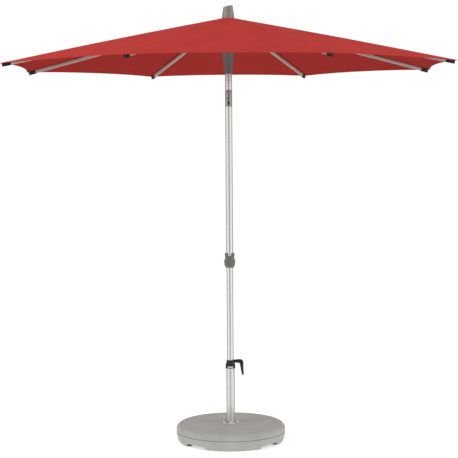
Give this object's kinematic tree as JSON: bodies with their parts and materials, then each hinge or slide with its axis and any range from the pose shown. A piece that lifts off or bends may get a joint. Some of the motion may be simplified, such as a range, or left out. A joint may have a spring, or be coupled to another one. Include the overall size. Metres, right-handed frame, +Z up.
{
  "type": "patio umbrella with base",
  "caption": "Open garden umbrella on a round weighted base: folding ribs and struts, tilting head, height-adjustable mast and a clamp with a hanging lever.",
  "frame": {"origin": "centre of the base on the floor, under the mast", "axes": "+Z up along the mast; -Y is the front, with a flat side of the canopy towards it; the clamp lever is on +X"},
  "size_m": [2.3318, 2.3318, 2.3855],
  "materials": {
    "canopy_fabric": "woven",
    "rib_paint": "satin powder coat",
    "mast_tube": "drawn and anodised",
    "stand_tube": "drawn and anodised",
    "tilt_metal": "satin",
    "screw_steel": "zinc plated",
    "grey_plastic": "moulded",
    "black_plastic": "moulded",
    "stand_shell": "fine grain",
    "concrete": "cast",
    "rubber_pad": "matte"
  },
  "bodies": {
    "base": {"base_shell_lower": "stand_shell", "base_shell_upper": "stand_shell", "concrete_core": "concrete", "foot_pads": "rubber_pad", "base_tube": "stand_tube", "flange_screws": "screw_steel", "clamp_collar": "black_plastic"},
    "clamp_handle": {"clamp_lever": "black_plastic", "clamp_screw": "screw_steel"},
    "mast_sleeve": {"reducer_sleeve": "black_plastic"},
    "mast_lower": {"lower_mast_tube": "mast_tube", "lower_mast_plug": "black_plastic", "lower_mast_guide": "black_plastic"},
    "mast_upper": {"upper_mast_tube": "mast_tube", "height_collar": "grey_plastic", "collet": "black_plastic", "tilt_fork": "tilt_metal", "tilt_pin": "screw_steel"},
    "height_ring": {"lock_ring": "grey_plastic"},
    "tilt_key": {"tilt_button": "black_plastic"},
    "head": {"head_tube": "mast_tube", "tilt_tongue": "tilt_metal", "crown_hub": "grey_plastic", "crown_ring": "screw_steel", "finial": "grey_plastic"},
    "runner": {"runner_body": "grey_plastic", "runner_bush": "black_plastic"},
    "runner_key": {"runner_button": "black_plastic"},
    "rib_arm_1": {"rib_1": "rib_paint", "rib_1_fittings": "black_plastic", "canopy_gore_1": "canopy_fabric"},
    "strut_arm_1": {"strut_1": "rib_paint"},
    "rib_arm_2": {"rib_2": "rib_paint", "rib_2_fittings": "black_plastic", "canopy_gore_2": "canopy_fabric"},
    "strut_arm_2": {"strut_2": "rib_paint"},
    "rib_arm_3": {"rib_3": "rib_paint", "rib_3_fittings": "black_plastic", "canopy_gore_3": "canopy_fabric"},
    "strut_arm_3": {"strut_3": "rib_paint"},
    "rib_arm_4": {"rib_4": "rib_paint", "rib_4_fittings": "black_plastic", "canopy_gore_4": "canopy_fabric"},
    "strut_arm_4": {"strut_4": "rib_paint"},
    "rib_arm_5": {"rib_5": "rib_paint", "rib_5_fittings": "black_plastic", "canopy_gore_5": "canopy_fabric"},
    "strut_arm_5": {"strut_5": "rib_paint"},
    "rib_arm_6": {"rib_6": "rib_paint", "rib_6_fittings": "black_plastic", "canopy_gore_6": "canopy_fabric"},
    "strut_arm_6": {"strut_6": "rib_paint"},
    "rib_arm_7": {"rib_7": "rib_paint", "rib_7_fittings": "black_plastic", "canopy_gore_7": "canopy_fabric"},
    "strut_arm_7": {"strut_7": "rib_paint"},
    "rib_arm_8": {"rib_8": "rib_paint", "rib_8_fittings": "black_plastic", "canopy_gore_8": "canopy_fabric"},
    "strut_arm_8": {"strut_8": "rib_paint"}
  },
  "joints": [
    {"name": "clamp_turn", "type": "hinge", "parent": "base", "child": "clamp_handle", "pos_m": [0, 0, 0.44], "axis": [1, 0, 0], "range_deg": [0, 180]},
    {"name": "mast_turn", "type": "hinge", "parent": "base", "child": "mast_sleeve", "pos_m": [0, 0, 0.1015], "axis": [0, 0, 1], "continuous": true},
    {"name": "mast_lift", "type": "slide", "parent": "mast_sleeve", "child": "mast_lower", "axis": [0, 0, 1], "range_m": [0, 0.3]},
    {"name": "height_slide", "type": "slide", "parent": "mast_lower", "child": "mast_upper", "axis": [0, 0, 1], "range_m": [-0.25, 0.1]},
    {"name": "ring_turn", "type": "hinge", "parent": "mast_upper", "child": "height_ring", "pos_m": [0, 0, 0.958], "axis": [0, 0, 1], "range_deg": [0, 75]},
    {"name": "tilt", "type": "hinge", "parent": "mast_upper", "child": "head", "pos_m": [0, 0, 1.8851], "axis": [1, 0, 0], "range_deg": [0, 45]},
    {"name": "tilt_press", "type": "slide", "parent": "mast_upper", "child": "tilt_key", "axis": [0, 1, 0], "range_m": [0, 0.004], "stiffness_N_per_m": 500, "springref_m": -0.002},
    {"name": "runner_slide", "type": "slide", "parent": "head", "child": "runner", "axis": [0, 0, 1], "range_m": [-0.46352, 0]},
    {"name": "runner_press", "type": "slide", "parent": "runner", "child": "runner_key", "axis": [0, -1, 0], "range_m": [0, 0.003], "stiffness_N_per_m": 500, "springref_m": -0.002},
    {"name": "rib_fold_1", "type": "hinge", "parent": "head", "child": "rib_arm_1", "pos_m": [0.03973, 0.01646, 2.3011], "axis": [-0.3827, 0.9239, 0], "range_deg": [-0.2, 75.7], "deforming": ["canopy_gore_1"]},
    {"name": "strut_fold_1", "type": "hinge", "parent": "rib_arm_1", "child": "strut_arm_1", "pos_m": [0.31712, 0.13135, 2.2225], "axis": [-0.3827, 0.9239, 0], "range_deg": [-151.4, 0.2]},
    {"name": "rib_fold_2", "type": "hinge", "parent": "head", "child": "rib_arm_2", "pos_m": [0.01646, 0.03973, 2.3011], "axis": [-0.9239, 0.3827, 0], "range_deg": [-0.2, 75.7], "deforming": ["canopy_gore_2"]},
    {"name": "strut_fold_2", "type": "hinge", "parent": "rib_arm_2", "child": "strut_arm_2", "pos_m": [0.13135, 0.31712, 2.2225], "axis": [-0.9239, 0.3827, 0], "range_deg": [-151.4, 0.2]},
    {"name": "rib_fold_3", "type": "hinge", "parent": "head", "child": "rib_arm_3", "pos_m": [-0.01646, 0.03973, 2.3011], "axis": [-0.9239, -0.3827, 0], "range_deg": [-0.2, 75.7], "deforming": ["canopy_gore_3"]},
    {"name": "strut_fold_3", "type": "hinge", "parent": "rib_arm_3", "child": "strut_arm_3", "pos_m": [-0.13135, 0.31712, 2.2225], "axis": [-0.9239, -0.3827, 0], "range_deg": [-151.4, 0.2]},
    {"name": "rib_fold_4", "type": "hinge", "parent": "head", "child": "rib_arm_4", "pos_m": [-0.03973, 0.01646, 2.3011], "axis": [-0.3827, -0.9239, 0], "range_deg": [-0.2, 75.7], "deforming": ["canopy_gore_4"]},
    {"name": "strut_fold_4", "type": "hinge", "parent": "rib_arm_4", "child": "strut_arm_4", "pos_m": [-0.31712, 0.13135, 2.2225], "axis": [-0.3827, -0.9239, 0], "range_deg": [-151.4, 0.2]},
    {"name": "rib_fold_5", "type": "hinge", "parent": "head", "child": "rib_arm_5", "pos_m": [-0.03973, -0.01646, 2.3011], "axis": [0.3827, -0.9239, 0], "range_deg": [-0.2, 75.7], "deforming": ["canopy_gore_5"]},
    {"name": "strut_fold_5", "type": "hinge", "parent": "rib_arm_5", "child": "strut_arm_5", "pos_m": [-0.31712, -0.13135, 2.2225], "axis": [0.3827, -0.9239, 0], "range_deg": [-151.4, 0.2]},
    {"name": "rib_fold_6", "type": "hinge", "parent": "head", "child": "rib_arm_6", "pos_m": [-0.01646, -0.03973, 2.3011], "axis": [0.9239, -0.3827, 0], "range_deg": [-0.2, 75.7], "deforming": ["canopy_gore_6"]},
    {"name": "strut_fold_6", "type": "hinge", "parent": "rib_arm_6", "child": "strut_arm_6", "pos_m": [-0.13135, -0.31712, 2.2225], "axis": [0.9239, -0.3827, 0], "range_deg": [-151.4, 0.2]},
    {"name": "rib_fold_7", "type": "hinge", "parent": "head", "child": "rib_arm_7", "pos_m": [0.01646, -0.03973, 2.3011], "axis": [0.9239, 0.3827, 0], "range_deg": [-0.2, 75.7], "deforming": ["canopy_gore_7"]},
    {"name": "strut_fold_7", "type": "hinge", "parent": "rib_arm_7", "child": "strut_arm_7", "pos_m": [0.13135, -0.31712, 2.2225], "axis": [0.9239, 0.3827, 0], "range_deg": [-151.4, 0.2]},
    {"name": "rib_fold_8", "type": "hinge", "parent": "head", "child": "rib_arm_8", "pos_m": [0.03973, -0.01646, 2.3011], "axis": [0.3827, 0.9239, 0], "range_deg": [-0.2, 75.7], "deforming": ["canopy_gore_8"]},
    {"name": "strut_fold_8", "type": "hinge", "parent": "rib_arm_8", "child": "strut_arm_8", "pos_m": [0.31712, -0.13135, 2.2225], "axis": [0.3827, 0.9239, 0], "range_deg": [-151.4, 0.2]}
  ],
  "couplings": [
    {"joint": "rib_fold_1", "follows": "runner_slide", "rad_per_m": -2.8429},
    {"joint": "strut_fold_1", "follows": "runner_slide", "rad_per_m": 5.6857},
    {"joint": "rib_fold_2", "follows": "runner_slide", "rad_per_m": -2.8429},
    {"joint": "strut_fold_2", "follows": "runner_slide", "rad_per_m": 5.6857},
    {"joint": "rib_fold_3", "follows": "runner_slide", "rad_per_m": -2.8429},
    {"joint": "strut_fold_3", "follows": "runner_slide", "rad_per_m": 5.6857},
    {"joint": "rib_fold_4", "follows": "runner_slide", "rad_per_m": -2.8429},
    {"joint": "strut_fold_4", "follows": "runner_slide", "rad_per_m": 5.6857},
    {"joint": "rib_fold_5", "follows": "runner_slide", "rad_per_m": -2.8429},
    {"joint": "strut_fold_5", "follows": "runner_slide", "rad_per_m": 5.6857},
    {"joint": "rib_fold_6", "follows": "runner_slide", "rad_per_m": -2.8429},
    {"joint": "strut_fold_6", "follows": "runner_slide", "rad_per_m": 5.6857},
    {"joint": "rib_fold_7", "follows": "runner_slide", "rad_per_m": -2.8429},
    {"joint": "strut_fold_7", "follows": "runner_slide", "rad_per_m": 5.6857},
    {"joint": "rib_fold_8", "follows": "runner_slide", "rad_per_m": -2.8429},
    {"joint": "strut_fold_8", "follows": "runner_slide", "rad_per_m": 5.6857}
  ]
}
